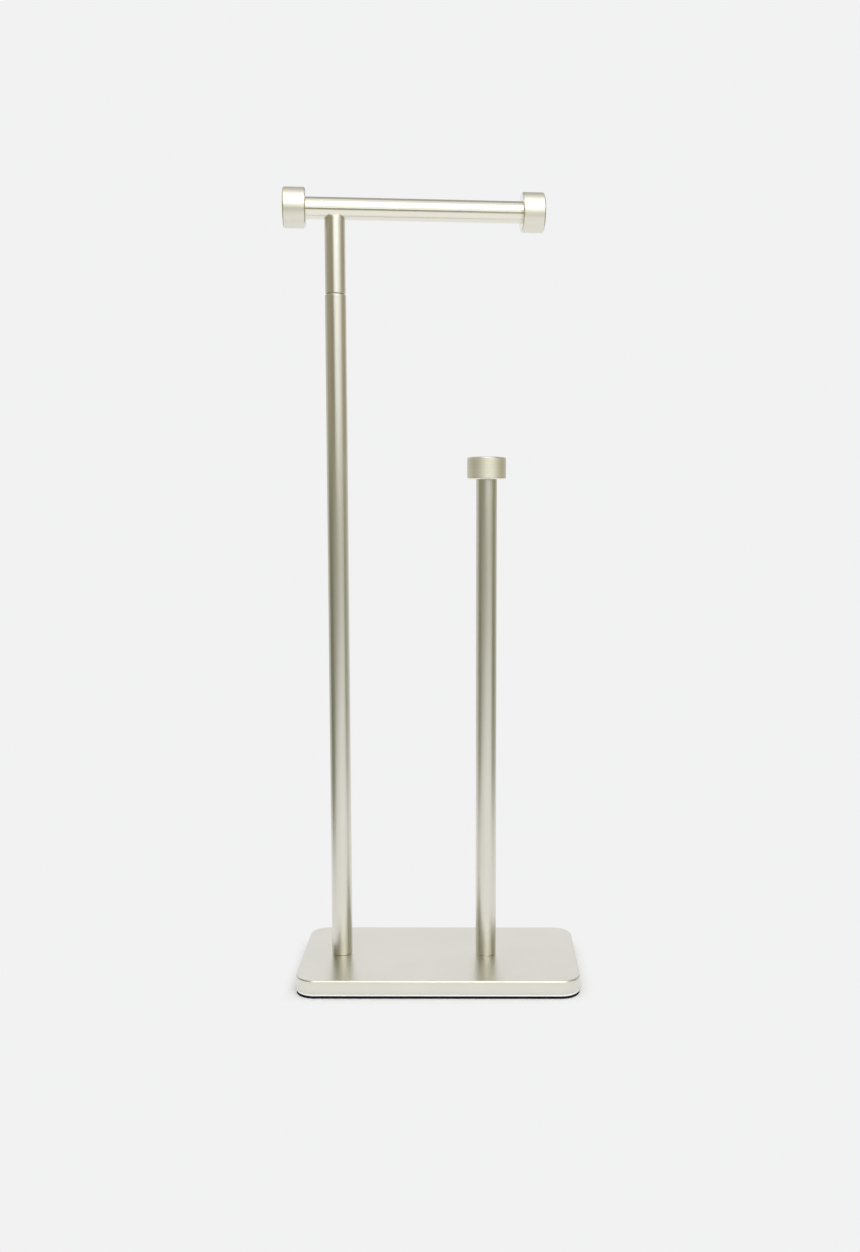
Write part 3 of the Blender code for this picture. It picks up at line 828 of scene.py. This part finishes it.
stub_profile = [
    (stub_outer - STUB_WALL, stub_bottom),
    (stub_outer - STUB_FOOT_CHAMFER, stub_bottom),
    (stub_outer, stub_bottom + STUB_FOOT_CHAMFER),
    (stub_outer, ear_top),
    (stub_outer - SADDLE_CHAMFER, ear_top + SADDLE_CHAMFER),
    (stub_outer - STUB_WALL, ear_top + SADDLE_CHAMFER),
]
work = turned(stub_profile, STUB_EDGE_BLUNTING)
finish = nickel_turned("satin_nickel_turning_post", swivel_axis, LEVEL, **GROUND_TUBE)
bmesh.ops.transform(work, matrix=turn_about_post, verts=work.verts)
stub = as_piece("turning_post_tube", work, finish)
mill_radius = arm_outer + SNUG
mill_profile = [
    (0, -MILL_REACH),
    (mill_radius, -MILL_REACH),
    (mill_radius, MILL_REACH),
    (0, MILL_REACH),
]
mill_work = turned(mill_profile, STUB_EDGE_BLUNTING)
bmesh.ops.transform(mill_work, matrix=along_arm, verts=mill_work.verts)
mill = as_piece("saddle_mill", mill_work, finish)
milling = stub.modifiers.new("saddle", "BOOLEAN")
milling.operation = "DIFFERENCE"
milling.object = mill
depsgraph = bpy.context.evaluated_depsgraph_get()
milled = bpy.data.meshes.new_from_object(stub.evaluated_get(depsgraph))
stub.modifiers.clear()
stub.data = milled
bpy.data.objects.remove(mill)
milled.set_sharp_from_angle(angle=MILLED_ANGLE)
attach(stub, "arm")
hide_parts("stub_post")
dress_turned("stub_lower_plug", "turning_post_lower_plug_steel", swivel_axis, LEVEL, **RAW_STEEL)
dress_turned("stub_saddle_plug", "saddle_plug_steel", swivel_axis, LEVEL, **RAW_STEEL)
dress_turned("arm_screw", "arm_screw_zinc", swivel_axis, LEVEL, **ZINC)
dress_turned("arm_screw_lock_washer", "arm_washer_steel", swivel_axis, LEVEL, **SPRING_STEEL)

# Arm
# A steel cross tube with a tapped core over the turning post and a plug in each end. The roll in
# use hangs on its long side. Ground and satin nickel plated like the posts.
CAP_DIAMETER = 0.0295
ARM_SHORT_SIDE = 0.0214
ARM_LONG_SIDE = 0.1401
SOCKET_GAP = 0.0003
grip = CAP_SOCKET - SOCKET_GAP
arm_centre = (swivel_axis[0], swivel_axis[1], arm_axis_height)
arm_lie = (0.0, math.pi / 2, ARM_TURN)

arm_profile = tube_corners(
    arm_outer,
    arm_outer - TUBE_WALL,
    -ARM_SHORT_SIDE - grip,
    ARM_LONG_SIDE + grip,
    TUBE_CHAMFER,
)
work = turned(arm_profile, STEEL_EDGE_BLUNTING)
bmesh.ops.transform(work, matrix=along_arm, verts=work.verts)
finish = nickel_turned(
    "satin_nickel_arm",
    arm_centre,
    arm_lie,
    smoothest=0.18,
    dullest=0.23,
    per_metre=2200,
    depth=0.000003,
    tones=CAP_TONES,
)
cross_tube = as_piece("cross_tube", work, finish)
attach(cross_tube, "arm")
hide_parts("arm_tube")
dress_turned("arm_core", "arm_core_steel", arm_centre, arm_lie, **RAW_STEEL)

# Arm's end caps
# Two turned caps like the spare post's, screwed up tight on studs in the arm's end plugs. Their
# faces show the lathe's fine rings under the plate.
for side, mouth, turn in (("left", -ARM_SHORT_SIDE, math.pi), ("right", ARM_LONG_SIDE, 0.0)):
    work = turned_cap(CAP_DIAMETER / 2, arm_outer + SNUG)
    seat = along_arm @ Matrix.Translation((0, 0, mouth)) @ Matrix.Rotation(turn, 4, "X")
    bmesh.ops.transform(work, matrix=seat, verts=work.verts)
    finish = nickel_turned(
        "satin_nickel_cap_" + side,
        arm_centre,
        arm_lie,
        smoothest=0.39,
        dullest=0.46,
        per_metre=2600,
        depth=0.000005,
        tones=CAP_TONES,
    )
    cap = as_piece("end_cap_" + side, work, finish)
    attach(cap, "arm")
    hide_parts("arm_cap_" + side)
    dress_turned("arm_cap_stud_" + side, "cap_stud_zinc_" + side, arm_centre, arm_lie, **ZINC)
    dress_turned("arm_end_plug_" + side, "end_plug_steel_" + side, arm_centre, arm_lie, **RAW_STEEL)
